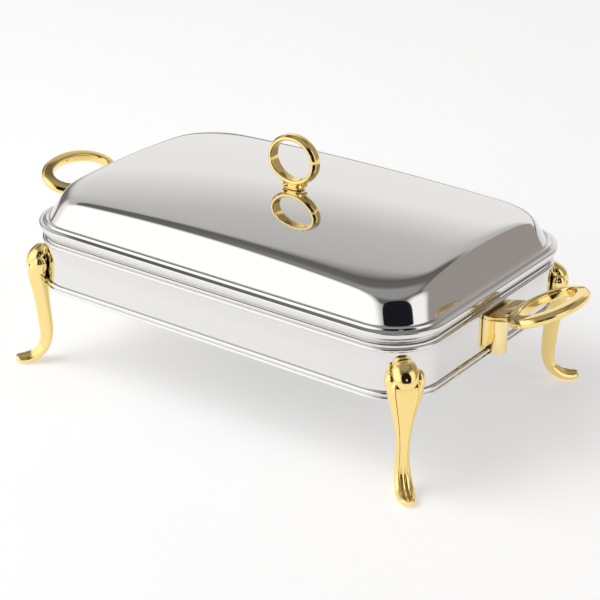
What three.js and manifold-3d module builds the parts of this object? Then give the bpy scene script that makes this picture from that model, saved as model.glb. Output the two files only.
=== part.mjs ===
// Electric buffet server: a mirror-polished warming base on four cast legs, with a lift-out food
// pan and a domed lid.
// Millimetres, +Z up, origin on the table under the middle of the base, +X along the long side.
import * as THREE from 'three';
import { mergeVertices } from 'three/addons/utils/BufferGeometryUtils.js';
import Module from 'manifold-3d';

// ---------- driving dimensions ----------
const BASE = { length: 400, width: 253, corner: 46, rim: 76.8, top: 122.5, wall: 1.4 };
const ROLLS = { wallInset: 2.2, low: { bottom: 79.6, radius: 2.2 }, high: { bottom: 117, radius: 1.8 } };
const LID = { lipOut: 1.9, lipBottom: 129.5, lipTop: 134.1, skin: 1.2 };
// The dome rises steeply inside the lip and bends over into a crowned top.
const DOME = { inset: 7, seat: 136.2, top: 171.4, steep: 2.6, bend: 5, crownLong: 2580, crownShort: 702 };
const PAN = { floor: 93.4, flange: 122.8, rimTop: 129.2, skin: 1.2, wallInset: 13.5 };
const FINIAL = { width: 49.4, height: 43.8, bar: 4.6, depth: 11.2, centreZ: 196.8, footWidth: 20 };
const HANDLE = { centreX: 245.5, centreZ: 130, reachY: 36.5, reachX: 24.6, bar: 11, height: 9, tilt: 0.355,
  postRadius: 8 };
const LEG = { sole: 0, screwZ: 100, toe: 30, egg: [7.2, 10.6, 12.6], eggLean: 0.7 };
const HEATER = { length: 330, width: 190, corner: 24, top: 93, plate: 2.1, mica: 1.1, clamp: 1.2 };
const BOX = { length: 112, back: 104, front: 38, bottom: 50, skin: 1.6, ear: 11 };
const GAP = 0.3; // clearance between neighbouring pieces
const ARC_STEPS = 4; // facets round each corner of a pressing
const SIDE_STEPS = 1; // facets along each side of a pressing

const wasm = await Module();
wasm.setup();

// ---------- materials ----------
const metal = (color, roughness) => new THREE.MeshStandardMaterial({ color, roughness, metalness: 1 });
const plastic = (color, roughness) => new THREE.MeshStandardMaterial({ color, roughness, metalness: 0 });
const finishes = {
  mirrorSteel: metal(0xd8d6d3, 0.06),
  gold: metal(0xe0b44c, 0.14),
  sheetSteel: metal(0xb4b4b2, 0.35),
  aluminium: metal(0xc2c3c5, 0.4),
  zincSteel: metal(0xa9abad, 0.3),
  brass: metal(0xc9a35a, 0.3),
  mica: plastic(0xb99b6b, 0.6),
  wool: plastic(0xe6e2d6, 0.95),
  blackPlastic: plastic(0x1b1b1c, 0.45),
  whitePlastic: plastic(0xe8e6df, 0.5),
  amberLens: plastic(0xd9822b, 0.2),
  rubberLead: plastic(0x5a5a5e, 0.6),
};

// ---------- joining and cutting ----------
function toSolid(geometry) {
  const bare = (geometry.index ? geometry.toNonIndexed() : geometry.clone());
  bare.deleteAttribute('normal');
  bare.deleteAttribute('uv');
  const merged = mergeVertices(bare, 1e-4);
  const index = merged.index.array;
  const kept = [];
  for (let i = 0; i < index.length; i += 3) {
    const [a, b, c] = [index[i], index[i + 1], index[i + 2]];
    if (a !== b && b !== c && a !== c) kept.push(a, b, c);
  }
  return new wasm.Manifold(new wasm.Mesh({
    numProp: 3,
    vertProperties: merged.attributes.position.array,
    triVerts: new Uint32Array(kept),
  }));
}

function toGeometry(solid) {
  const mesh = solid.getMesh();
  const geometry = new THREE.BufferGeometry();
  geometry.setAttribute('position', new THREE.BufferAttribute(new Float32Array(mesh.vertProperties), 3));
  geometry.setIndex(new THREE.BufferAttribute(new Uint32Array(mesh.triVerts), 1));
  geometry.computeVertexNormals();
  return geometry;
}

const join = (...shapes) => toGeometry(shapes.map(toSolid).reduce((a, b) => a.add(b)));
const cut = (shape, ...tools) =>
  toGeometry(tools.map(toSolid).reduce((a, b) => a.subtract(b), toSolid(shape)));

// ---------- plain shapes ----------
function block([x0, y0, z0], [x1, y1, z1]) {
  return new THREE.BoxGeometry(x1 - x0, y1 - y0, z1 - z0)
    .translate((x0 + x1) / 2, (y0 + y1) / 2, (z0 + z1) / 2);
}

// An upright round bar from z0 to z1.
function upright(radius, x, y, z0, z1, sides = 12) {
  return new THREE.CylinderGeometry(radius, radius, z1 - z0, sides).rotateX(Math.PI / 2)
    .translate(x, y, (z0 + z1) / 2);
}

// A round bar from one point to another.
function rod(radius, from, to, sides = 12) {
  const start = new THREE.Vector3(...from);
  const run = new THREE.Vector3(...to).sub(start);
  const turn = new THREE.Quaternion().setFromUnitVectors(new THREE.Vector3(0, 1, 0), run.clone().normalize());
  const middle = start.addScaledVector(run, 0.5);
  return new THREE.CylinderGeometry(radius, radius, run.length(), sides).applyQuaternion(turn)
    .translate(middle.x, middle.y, middle.z);
}

function roundedRectangle(length, width, radius) {
  const [a, b] = [length / 2, width / 2];
  const shape = new THREE.Shape();
  shape.moveTo(a, -b + radius);
  shape.lineTo(a, b - radius);
  shape.absarc(a - radius, b - radius, radius, 0, Math.PI / 2);
  shape.lineTo(-a + radius, b);
  shape.absarc(-a + radius, b - radius, radius, Math.PI / 2, Math.PI);
  shape.lineTo(-a, -b + radius);
  shape.absarc(-a + radius, -b + radius, radius, Math.PI, 1.5 * Math.PI);
  shape.lineTo(a - radius, -b);
  shape.absarc(a - radius, -b + radius, radius, 1.5 * Math.PI, 2 * Math.PI);
  return shape;
}

function plate(length, width, radius, z0, z1) {
  return new THREE.ExtrudeGeometry(roundedRectangle(length, width, radius),
    { depth: z1 - z0, bevelEnabled: false, curveSegments: 3 }).translate(0, 0, z0);
}

// A point of the base outline drawn in by inset, at step k round it.
function outlinePoint(k, inset, cornerRadius, scale) {
  const a = BASE.length / 2 - inset;
  const b = BASE.width / 2 - inset;
  const perQuarter = ARC_STEPS + SIDE_STEPS;
  const quarter = Math.floor(k / perQuarter) % 4;
  const j = k % perQuarter;
  const corner = (q) => [[1, 1], [-1, 1], [-1, -1], [1, -1]][q % 4]
    .map((sign, axis) => sign * ((axis ? b : a) - cornerRadius));
  const at = (q, angle) => corner(q)
    .map((c, axis) => c + cornerRadius * (axis ? Math.sin(angle) : Math.cos(angle)));
  if (j <= ARC_STEPS) return at(quarter, (quarter + j / ARC_STEPS) * Math.PI / 2).map((v) => v * scale);
  const turned = (quarter + 1) * Math.PI / 2;
  const [from, to] = [at(quarter, turned), at(quarter + 1, turned)];
  const t = (j - ARC_STEPS) / SIDE_STEPS;
  return from.map((v, axis) => (v + (to[axis] - v) * t) * scale);
}

// A pressing that follows the base outline. Each profile point is [inset, z] with an optional
// corner radius, and an optional scale that draws the outline towards the middle. A height may
// also be a rule that gives z at x, y.
function pressing(profile) {
  const steps = 4 * (ARC_STEPS + SIDE_STEPS);
  const points = profile.map(([inset], j) => new THREE.Vector2(inset, j));
  const geometry = new THREE.LatheGeometry(points, steps);
  const position = geometry.attributes.position;
  for (let i = 0; i <= steps; i++) {
    profile.forEach(([inset, z, radius = BASE.corner - inset, scale = 1], j) => {
      const [x, y] = outlinePoint(i % steps, inset, radius, scale);
      position.setXYZ(i * profile.length + j, x, y, typeof z === 'function' ? z(x, y) : z);
    });
  }
  return geometry;
}

// A bar bent along a path in the XZ plane: each section is [x, z, halfDepth, halfWidth].
function bentBar(sections, sides = 10, steps = 18, squareness = 2.4) {
  const path = new THREE.CatmullRomCurve3(sections.map(([x, z]) => new THREE.Vector3(x, 0, z)));
  const sizes = new THREE.CatmullRomCurve3(sections.map(([, , d, w]) => new THREE.Vector3(d, w, 0)));
  const bar = new THREE.CylinderGeometry(1, 1, 1, sides, steps);
  const position = bar.attributes.position;
  const power = (v) => Math.sign(v) * Math.abs(v) ** (2 / squareness);
  for (let i = 0; i < position.count; i++) {
    const t = 0.5 - position.getY(i);
    const [across, side] = [position.getX(i), position.getZ(i)];
    const centre = path.getPoint(t);
    const along = path.getTangent(t);
    const size = sizes.getPoint(t);
    const depth = power(across) * size.x;
    position.setXYZ(i, centre.x - along.z * depth, -power(side) * size.y, centre.z + along.x * depth);
  }
  return bar;
}

// An oval ring lying in the XY plane, its bar drawn as a rounded rectangle bar x height.
function ovalRing(halfX, halfY, bar, height, sections = 8, steps = 28) {
  const ring = new THREE.TorusGeometry(2, 1, sections, steps);
  const position = ring.attributes.position;
  const power = (v) => Math.sign(v) * Math.abs(v) ** 0.75;
  for (let i = 0; i < position.count; i++) {
    const [x, y, z] = [position.getX(i), position.getY(i), position.getZ(i)];
    const angle = Math.atan2(y, x);
    const outward = power(Math.hypot(x, y) - 2) * bar / 2;
    const normal = new THREE.Vector2(Math.cos(angle) * halfY, Math.sin(angle) * halfX).normalize();
    position.setXYZ(i, Math.cos(angle) * halfX + normal.x * outward,
      Math.sin(angle) * halfY + normal.y * outward, power(z) * height / 2);
  }
  return ring;
}

// A pan-head screw with its head's underside at the origin and its shank along +Y.
function screw(headRadius, headHeight, shankRadius, length, sides = 8) {
  const profile = [[0, -headHeight], [headRadius * 0.7, -headHeight], [headRadius, -headHeight * 0.55],
    [headRadius, 0], [shankRadius, 0], [shankRadius, length - 0.8], [shankRadius * 0.5, length], [0, length]];
  return new THREE.LatheGeometry(profile.map(([x, y]) => new THREE.Vector2(x, y)), sides);
}

function lead(radius, points) {
  const route = new THREE.CatmullRomCurve3(points.map((p) => new THREE.Vector3(...p)), false, 'centripetal');
  const section = new THREE.Shape();
  for (let i = 0; i < 8; i++) {
    const angle = i * Math.PI / 4;
    section[i ? 'lineTo' : 'moveTo'](radius * Math.cos(angle), radius * Math.sin(angle));
  }
  return new THREE.ExtrudeGeometry(section, { steps: 14, extrudePath: route });
}

// ---------- assembly ----------
const server = new THREE.Group();

function add(name, geometry, finish, parent = server) {
  const mesh = new THREE.Mesh(geometry, finish);
  mesh.name = name;
  parent.add(mesh);
  return mesh;
}

// A screw driven from a point along a direction.
function addScrew(name, size, from, direction) {
  const mesh = add(name, screw(...size), finishes.zincSteel);
  mesh.position.set(...from);
  mesh.quaternion.setFromUnitVectors(new THREE.Vector3(0, 1, 0), new THREE.Vector3(...direction).normalize());
}

// ---------- lid ----------
// Height of the dome's skin where the shoulder alone would have risen by rise.
function domeHeight(x, y, rise, below) {
  const crown = DOME.top - DOME.seat - x * x / (2 * DOME.crownLong) - y * y / (2 * DOME.crownShort);
  return DOME.seat - below + crown / (1 + (crown / rise) ** DOME.bend) ** (1 / DOME.bend);
}

function domeProfile(below) {
  const inset = DOME.inset + below;
  const radius = BASE.corner - inset;
  const inwards = [0, 2.4, 5, 7.6, 10, 12.6, 16, 22, 32];
  const shoulder = inwards.map((inward) =>
    [inset + inward, (x, y) => domeHeight(x, y, DOME.steep * inward, below), radius + 0.1 * inward]);
  const reach = inwards.at(-1);
  const crown = [0.66, 0.33, 0].map((scale) => [inset + reach,
    (x, y) => domeHeight(x, y, DOME.steep * reach / scale ** 2, below), radius + 0.1 * reach, scale]);
  return [...shoulder, ...crown];
}

function lidShell() {
  const underLip = [[7.4, 134.9], [5.6, 135.4], [4.9, 135.2], [4.3, 134.2], [4.1, 131], [3.6, 129.9]];
  const lip = [[2.8, LID.lipBottom], [-0.4, LID.lipBottom], [-1.5, 130], [-LID.lipOut, 131.2],
    [-LID.lipOut, 132.6], [-1.4, 133.8], [-0.4, LID.lipTop], [2.2, LID.lipTop + 0.1]];
  const ridge = [[2.8, 135.2], [3.7, 136.5], [4.9, 136.8], [6.1, 136.3]];
  const underside = [...domeProfile(LID.skin).reverse(), ...underLip];
  const shell = pressing([...underside, ...lip, ...ridge, ...domeProfile(0)]);
  return cut(shell, upright(2.4, 0, 0, DOME.top - 5, DOME.top + 2));
}

// The finial is one casting: an upright oval ring on a flared foot.
function finial() {
  const ring = ovalRing(FINIAL.width / 2 - FINIAL.bar / 2, FINIAL.height / 2 - FINIAL.bar / 2,
    FINIAL.bar, FINIAL.depth).rotateX(Math.PI / 2)
    .translate(0, 0, FINIAL.centreZ);
  const reach = FINIAL.footWidth / 2;
  const foot = new THREE.LatheGeometry([[0, 0], [reach, 0], [reach, 1.2], [reach * 0.7, 2.2],
    [reach * 0.6, 3.4], [reach * 0.8, 5], [0, 6.4]].map(([x, y]) => new THREE.Vector2(x, y)), 20)
    .rotateX(Math.PI / 2).scale(1, 0.6, 1).translate(0, 0, DOME.top + GAP);
  const thread = upright(2.3, 0, 0, DOME.top - 1, DOME.top + 6);
  return cut(join(ring, foot), thread);
}

add('lid_shell', lidShell(), finishes.mirrorSteel);
add('lid_finial', finial(), finishes.gold);
const washerTop = DOME.top - LID.skin - GAP;
const washerBottom = washerTop - 1.2;
add('finial_washer', cut(upright(7, 0, 0, washerBottom, washerTop),
  upright(2.4, 0, 0, washerBottom - 2, washerTop + 2)), finishes.zincSteel);
addScrew('finial_screw', [4, 2.6, 2, 7.6], [0, 0, washerBottom - GAP], [0, 0, 1]);

// ---------- food pan ----------
function foodPan() {
  const { floor, flange, rimTop, skin, wallInset } = PAN;
  const [low, inner] = [floor + skin, wallInset + skin];
  const floorCorner = [[8.6, 0], [4.6, 1], [1.6, 3.6], [0.4, 8]];
  const under = [[28, floor, 24, 0], [28, floor, 24, 1],
    ...floorCorner.map(([i, z]) => [wallInset + i, floor + z])];
  const rim = [[wallInset - 0.4, flange], [3.2, flange], [2.6, 123.6], [2.2, 125], [1.2, 125.4], [0.6, 126.4],
    [0.6, 128], [1.2, rimTop - 0.2], [2.2, rimTop], [3.2, rimTop - 0.2], [3.9, 128], [4.1, 125.6], [4.6, 124.2],
    [wallInset - 2, 124.2], [inner - 0.6, 123.4]];
  const over = [...floorCorner.map(([i, z]) => [inner + i, low + z]).reverse(),
    [28, low, 24, 1], [28, low, 24, 0]];
  return pressing([...under, ...rim, ...over]);
}

add('food_pan', foodPan(), finishes.mirrorSteel);

// ---------- base ----------
const cornerCentre = [BASE.length / 2 - BASE.corner, BASE.width / 2 - BASE.corner];
const corners = [
  { name: 'front_right', signs: [1, -1] },
  { name: 'front_left', signs: [-1, -1] },
  { name: 'back_right', signs: [1, 1] },
  { name: 'back_left', signs: [-1, 1] },
];

// A point at a radial distance off outside the middle of a corner of the base outline.
function cornerPoint([sx, sy], off, z) {
  const reach = (BASE.corner + off) * Math.SQRT1_2;
  return [sx * (cornerCentre[0] + reach), sy * (cornerCentre[1] + reach), z];
}

const wallOut = ROLLS.wallInset;
const wallIn = wallOut + BASE.wall;
const handleScrewHeights = [94, 108];
const baseScrewPlaces = [[-110, -117.5], [0, -117.5], [110, -117.5], [-110, 117.5], [0, 117.5], [110, 117.5]];

function rolledBead({ bottom, radius }) {
  return [-80, -45, 0, 45, 80].map((degrees) => {
    const angle = degrees * Math.PI / 180;
    return [radius - radius * Math.cos(angle), bottom + radius + radius * Math.sin(angle)];
  });
}

function bodyShell() {
  const { rim, top } = BASE;
  const { low, high } = ROLLS;
  const band = pressing([
    [wallIn, rim], [1.6, rim], [0.7, rim + 0.5], [0.7, rim + 1.5], [1.6, low.bottom - 0.4], ...rolledBead(low),
    [wallOut, low.bottom + 2 * low.radius + 0.6], [wallOut, high.bottom - 0.6], ...rolledBead(high),
    [wallOut + 0.2, top - 0.4], [wallOut + 0.6, top], [wallIn - 0.3, top],
    [wallIn, top - 0.4], [wallIn, 84.5], [13, 84.5], [13, 83.2], [wallIn + 0.8, 83.2],
    [wallIn + 0.8, rim + 0.6], [wallIn, rim],
  ]);
  const legHoles = corners.map(({ signs }) => rod(2.3, cornerPoint(signs, -8, LEG.screwZ),
    cornerPoint(signs, 2, LEG.screwZ), 8));
  const endX = BASE.length / 2;
  const handleHoles = [-1, 1].flatMap((side) => handleScrewHeights.map((z) =>
    rod(2.3, [side * (endX - 8), 0, z], [side * (endX + 2), 0, z], 8)));
  const plateHoles = baseScrewPlaces.map(([x, y]) => upright(1.8, x, y, 80, 90, 8));
  return cut(band, ...legHoles, ...handleHoles, ...plateHoles);
}

add('body_shell', bodyShell(), finishes.mirrorSteel);

// The room that the base takes up, with its clearance: legs and handles are cut back from it.
const baseRoom = pressing([
  [20, 76.4, 26, 0], [-0.35, 76.4], [-0.35, 84.4], [wallOut - GAP, 84.8], [wallOut - GAP, 116.2],
  [-0.35, 116.6], [-0.35, 124], [20, 124, 26, 0],
]);

const spacerPlaces = [[-140, -70], [140, -70], [140, 70], [-140, 70]];
const earX = BOX.length / 2 + BOX.ear / 2;
const boxScrewPlaces = [[-earX, 52], [earX, 52], [earX, 90], [-earX, 90]];
const windowHole = block([-24, 58, 70], [24, 86, 95]);

function basePlate() {
  const inset = wallIn + 0.8 + GAP;
  const sheet = pressing([[20, 81.9, 26, 0], [inset, 81.9], [inset, 82.9], [20, 82.9, 26, 0]]);
  const holes = [...baseScrewPlaces, ...spacerPlaces, ...boxScrewPlaces]
    .map(([x, y]) => upright(2.2, x, y, 80, 85, 8));
  return cut(sheet, windowHole, ...holes);
}

add('base_plate', basePlate(), finishes.sheetSteel);
baseScrewPlaces.forEach(([x, y], i) => {
  addScrew(`base_screw_${i + 1}`, [3, 1.8, 1.4, 4.2], [x, y, 81.6], [0, 0, 1]);
});

// ---------- heater stack ----------
const heatUnder = HEATER.top - HEATER.plate;
const micaTop = heatUnder - GAP;
const clampTop = micaTop - HEATER.mica - GAP;
const woolTop = clampTop - HEATER.clamp - GAP;
const woolBottom = 83.2;

function stackHoles(radius, top) {
  return spacerPlaces.map(([x, y]) => upright(radius, x, y, 78, top, 8));
}

add('heating_plate', cut(plate(HEATER.length, HEATER.width, HEATER.corner, heatUnder, HEATER.top),
  ...stackHoles(2.2, HEATER.top - 0.5)), finishes.aluminium);
const micaBottom = micaTop - HEATER.mica;
add('mica_heater', cut(plate(HEATER.length - 14, HEATER.width - 14, HEATER.corner - 6, micaBottom, micaTop),
  ...stackHoles(2.2, 95)), finishes.mica);
const clampBottom = clampTop - HEATER.clamp;
add('clamp_plate', cut(plate(HEATER.length - 8, HEATER.width - 8, HEATER.corner - 4, clampBottom, clampTop),
  ...stackHoles(2.2, 95)), finishes.sheetSteel);
const woolWindow = block([-28, 55, 78], [28, 89, 95]);
const blanket = plate(HEATER.length - 4, HEATER.width - 4, HEATER.corner - 2, woolBottom, woolTop);
add('insulation_blanket', cut(blanket, woolWindow, ...stackHoles(5, 95),
  ...boxScrewPlaces.map(([x, y]) => upright(3, x, y, 78, 95, 12))), finishes.wool);
spacerPlaces.forEach(([x, y], i) => {
  add(`plate_spacer_${i + 1}`, cut(upright(4.4, x, y, woolBottom, woolTop), upright(2.2, x, y, 80, 92)),
    finishes.zincSteel);
  addScrew(`plate_screw_${i + 1}`, [3.6, 2.2, 1.9, 10.6], [x, y, 81.6], [0, 0, 1]);
});

// ---------- control box under the back of the base ----------
const boxX = BOX.length / 2;
const inlet = { x: -24, z: 66, width: 26.8, height: 19.6, depth: 20 };
const toggle = { x: 18, z: 66, width: 12.8, height: 19.2, depth: 15 };
const lamp = { x: 41, z: 66, radius: 3.6 };

function controlBox() {
  const top = 81.6;
  const outside = block([-boxX, BOX.front, BOX.bottom], [boxX, BOX.back, top]);
  const ears = block([-boxX - BOX.ear, BOX.front + 6, top - BOX.skin], [boxX + BOX.ear, BOX.back - 6, top]);
  const inside = block([-boxX + BOX.skin, BOX.front + BOX.skin, BOX.bottom + BOX.skin],
    [boxX - BOX.skin, BOX.back - BOX.skin, top + 5]);
  const hole = ({ x, z, width, height }) => block([x - width / 2 - GAP, BOX.back - 5, z - height / 2 - GAP],
    [x + width / 2 + GAP, BOX.back + 5, z + height / 2 + GAP]);
  const lampHole = rod(lamp.radius + GAP, [lamp.x, BOX.back - 5, lamp.z], [lamp.x, BOX.back + 5, lamp.z], 16);
  const screwHoles = boxScrewPlaces.map(([x, y]) => upright(2.2, x, y, 76, 85, 12));
  return cut(join(outside, ears), inside, hole(inlet), hole(toggle), lampHole, ...screwHoles);
}

add('control_box', controlBox(), finishes.blackPlastic);
boxScrewPlaces.forEach(([x, y], i) => {
  addScrew(`box_screw_${i + 1}`, [3.4, 2.2, 1.7, 6], [x, y, 79.7], [0, 0, 1]);
});

// The inlet's recess takes a plug connector, whose contacts slide over three flat pins.
const pins = [
  { name: 'live', x: inlet.x + 7, z: inlet.z - 2 },
  { name: 'neutral', x: inlet.x - 7, z: inlet.z - 2 },
  { name: 'earth', x: inlet.x, z: inlet.z + 2.4 },
];
const pinHalf = { x: 1, z: 2 };

function pinBlock({ x, z }, from, to, spare) {
  const [halfX, halfZ] = [pinHalf.x + spare, pinHalf.z + spare];
  return block([x - halfX, from, z - halfZ], [x + halfX, to, z + halfZ]);
}

const face = BOX.back + GAP; // where fittings bear on the back of the box

// The flat rim of a fitting, on the back of the box.
function facePlate({ x, z, width, height }, rim, thickness) {
  return block([x - width / 2 - rim, face, z - height / 2 - rim],
    [x + width / 2 + rim, face + thickness, z + height / 2 + rim]);
}

// The part of a fitting that goes through its hole in the box.
function boxBarrel({ x, z, width, height, depth }) {
  return block([x - width / 2, face + 1 - depth, z - height / 2], [x + width / 2, face + 1, z + height / 2]);
}

function powerInlet() {
  const { x, z } = inlet;
  const flange = facePlate(inlet, 2.2, 1.8);
  const barrel = boxBarrel(inlet);
  const recess = block([x - 11.6, face + 1.8 - 15, z - 7.8], [x + 11.6, face + 5, z + 7.8]);
  return cut(join(flange, barrel), recess, ...pins.map((pin) => pinBlock(pin, 60, 100, GAP)));
}

add('power_inlet', powerInlet(), finishes.blackPlastic);
for (const pin of pins) add(`inlet_pin_${pin.name}`, pinBlock(pin, 76, BOX.back - 4.6, 0), finishes.brass);

const rockerAxle = { y: BOX.back + 0.2, z: toggle.z, radius: 1.4 };
const rockerHalf = { x: 4.7, z: 8 };

function switchHousing() {
  const { x, z } = toggle;
  const bezel = facePlate(toggle, 1.6, 1.6);
  const barrel = boxBarrel(toggle);
  const mouthHalf = [rockerHalf.x + 0.4, rockerHalf.z + 0.9];
  const mouth = block([x - mouthHalf[0], face - 7, z - mouthHalf[1]],
    [x + mouthHalf[0], face + 5, z + mouthHalf[1]]);
  return cut(join(bezel, barrel), mouth);
}

// The rocker's face is a shallow V, so one end stands out while the other is level with the bezel.
const rockerThrow = 11 * Math.PI / 180;

function rocker() {
  const side = new THREE.Shape();
  side.moveTo(-rockerHalf.z, -2.2);
  side.lineTo(rockerHalf.z, -2.2);
  side.lineTo(rockerHalf.z, 2.6);
  side.lineTo(0, 1.4);
  side.lineTo(-rockerHalf.z, 2.6);
  side.closePath();
  return new THREE.ExtrudeGeometry(side, { depth: 2 * rockerHalf.x, bevelEnabled: false })
    .translate(0, 0, -rockerHalf.x).rotateY(-Math.PI / 2);
}

add('switch_housing', switchHousing(), finishes.blackPlastic);
const rockerMesh = add('switch_rocker', rocker().rotateX(rockerThrow), finishes.blackPlastic);
rockerMesh.position.set(toggle.x, rockerAxle.y, rockerAxle.z);

const lampProfile = [[0, 0], [lamp.radius, 0], [lamp.radius, 8], [5, 8], [5, 9], [3.6, 10.6], [1.8, 11.4],
  [0, 11.6]];
add('pilot_lamp', new THREE.LatheGeometry(lampProfile.map(([x, y]) => new THREE.Vector2(x, y)), 20)
  .translate(lamp.x, BOX.back + GAP - 8, lamp.z), finishes.amberLens);

// ---------- thermostat, fuse, terminals and leads ----------
const thermostat = new THREE.LatheGeometry([[0, -10], [6, -10], [6, -7], [8, -6.4], [8, 0], [0, 0]]
  .map(([x, y]) => new THREE.Vector2(x, y)), 20).rotateX(Math.PI / 2).translate(-12, 72, woolTop);
add('thermostat', thermostat, finishes.zincSteel);
add('thermal_fuse', rod(2, [12, 66, woolTop - 2.2], [12, 78, woolTop - 2.2], 14), finishes.whitePlastic);
const boxFloor = BOX.bottom + BOX.skin;
add('terminal_block', block([-16, 46, boxFloor + GAP], [16, 60, BOX.bottom + 14]), finishes.whitePlastic);

const leadRadius = 1.1;
const [live, neutral] = pins;
add('lead_live', lead(leadRadius, [[live.x, 75.6, live.z], [live.x, 71, live.z - 1], [-4, 66, 58], [9, 69, 58],
  [16, 80, 60], [toggle.x, 86, 61.4], [toggle.x, 89.9, 61.4]]), finishes.rubberLead);
add('lead_neutral', lead(leadRadius, [[neutral.x, 75.6, neutral.z], [neutral.x, 71, neutral.z - 1],
  [-25, 67, 61], [-15, 66, 60], [-12, 63.5, 59.6], [-12, 60.4, 59.4]]), finishes.rubberLead);
add('lead_switched', lead(leadRadius, [[toggle.x, 89.9, 71], [toggle.x, 85, 71], [11, 79, 71.6], [0, 74, 72],
  [-9, 72, 72.6], [-12, 72, 74.6], [-12, 72, woolTop - 10.4]]), finishes.rubberLead);
add('lead_fuse', lead(leadRadius, [[12, 65.6, woolTop - 2.2], [12, 63.6, woolTop - 2.8], [12, 62.6, 80],
  [12, 62.8, 70], [11, 63.6, 63], [10, 62.6, 60], [10, 60.4, 59.4]]), finishes.rubberLead);

// ---------- legs ----------
// A leg is one casting drawn with +X pointing away from the base: a leaning egg and two side lobes
// over a tapering shaft that sweeps out to a flat-soled toe.
function legShape() {
  const shaft = bentBar([[7, 97, 8.6, 14], [6.4, 87, 8.8, 14.2], [4.6, 69, 7.6, 9.6], [3, 53, 6.7, 6.6],
    [1.7, 38, 6.2, 5.8], [1.2, 26, 5.6, 6], [4.6, 14, 5.2, 6.8], [13, 6.4, 4.4, 7.6], [21.5, 3.4, 4, 7.2],
    [LEG.toe - 1, 4, 3.6, 4.8]]);
  const egg = new THREE.SphereGeometry(1, 12, 8).rotateX(Math.PI / 2)
    .scale(...LEG.egg).rotateY(-LEG.eggLean).translate(5.6, 0, 101.8);
  const lobes = [-1, 1].map((side) => new THREE.SphereGeometry(1, 10, 6).rotateX(Math.PI / 2)
    .scale(6.4, 5.4, 8.6).translate(3.8, side * 10.6, 96.4));
  const underFloor = block([-20, -20, -20], [50, 20, LEG.sole]);
  const threaded = rod(2.3, [-8, 0, LEG.screwZ], [9.5, 0, LEG.screwZ], 12);
  return cut(join(shaft, egg, ...lobes), underFloor, threaded);
}

const leg = legShape();
for (const { name, signs } of corners) {
  const [x, y] = cornerPoint(signs, 0, 0);
  const placed = leg.clone().rotateZ(Math.atan2(signs[1], signs[0])).translate(x, y, 0);
  add(`leg_${name}`, cut(placed, baseRoom), finishes.gold);
  // the flat head bears on the wall's inner curve
  const inside = cornerPoint(signs, -wallIn - 1.1, LEG.screwZ);
  addScrew(`leg_screw_${name}`, [3.8, 2.6, 2, 12.6], inside, [signs[0], signs[1], 0]);
}

// ---------- side handles ----------
// Each handle is one casting: back plate, half-round post, shelf, two arms and a tilted oval ring.
function handleShape() {
  const { centreX, centreZ, reachX, reachY, bar, height, tilt, postRadius } = HANDLE;
  const wallX = BASE.length / 2 - wallOut;
  const backPlate = block([wallX + GAP, -19, 88], [wallX + 3, 19, 114]);
  const post = upright(postRadius, wallX + 2, 0, 78, 114, 24);
  const shelf = new THREE.Shape();
  shelf.moveTo(wallX + GAP, -19);
  shelf.lineTo(207, -17);
  shelf.lineTo(221.5, -20);
  shelf.lineTo(223, -11);
  shelf.lineTo(208.6, -9);
  shelf.lineTo(208.6, 9);
  shelf.lineTo(223, 11);
  shelf.lineTo(221.5, 20);
  shelf.lineTo(207, 17);
  shelf.lineTo(wallX + GAP, 19);
  shelf.closePath();
  const web = new THREE.ExtrudeGeometry(shelf, { depth: 4.2, bevelEnabled: false }).translate(0, 0, 111.9);
  const position = web.attributes.position;
  for (let i = 0; i < position.count; i++) { // the arms rise to meet the ring
    const rise = Math.max(0, position.getX(i) - 207) / 15;
    position.setZ(i, position.getZ(i) + 5 * rise);
  }
  const ring = ovalRing(reachX, reachY, bar, height).rotateY(-tilt).translate(centreX, 0, centreZ);
  const threads = handleScrewHeights.map((z) => rod(2.3, [wallX - 8, 0, z], [wallX + 8, 0, z], 12));
  const roomInside = block([150, -40, 60], [wallX + GAP, 40, 130]);
  return cut(join(backPlate, post, web, ring), roomInside, baseRoom, ...threads);
}

const handle = handleShape();
for (const [name, turn] of [['right', 0], ['left', Math.PI]]) {
  add(`handle_${name}`, handle.clone().rotateZ(turn), finishes.gold);
  const side = name === 'right' ? 1 : -1;
  handleScrewHeights.forEach((z, i) => {
    const headX = side * (BASE.length / 2 - wallIn - GAP);
    addScrew(`handle_screw_${name}_${i + 1}`, [3.8, 2.6, 2, 8.8], [headX, 0, z], [side, 0, 0]);
  });
}

export default server;
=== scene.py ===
# Electric buffet server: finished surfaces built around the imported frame.
# Metres, +Z up, origin on the table under the middle of the base, +X along the long side.
import math

import bmesh
import bpy
from mathutils import Matrix, Vector


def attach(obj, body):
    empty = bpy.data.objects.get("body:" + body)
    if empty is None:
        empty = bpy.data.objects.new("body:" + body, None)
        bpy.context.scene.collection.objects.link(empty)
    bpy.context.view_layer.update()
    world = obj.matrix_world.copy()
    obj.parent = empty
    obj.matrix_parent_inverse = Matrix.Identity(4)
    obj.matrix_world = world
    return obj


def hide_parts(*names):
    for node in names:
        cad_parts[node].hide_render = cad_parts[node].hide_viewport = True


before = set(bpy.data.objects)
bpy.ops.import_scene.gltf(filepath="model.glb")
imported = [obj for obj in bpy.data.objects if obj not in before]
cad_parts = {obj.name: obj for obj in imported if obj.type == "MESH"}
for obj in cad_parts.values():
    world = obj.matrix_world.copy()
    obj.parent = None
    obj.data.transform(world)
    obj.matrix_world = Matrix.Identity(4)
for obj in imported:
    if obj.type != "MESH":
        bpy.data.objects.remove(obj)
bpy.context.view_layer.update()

mm = 0.001
print("frame loaded:", len(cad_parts), "nodes")


# Shapes are drawn in millimetres.

def smoothStep(t):
    t = min(max(t, 0), 1)
    return t * t * (3 - 2 * t)


def power(value, exponent):
    return math.copysign(abs(value) ** exponent, value)


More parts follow.
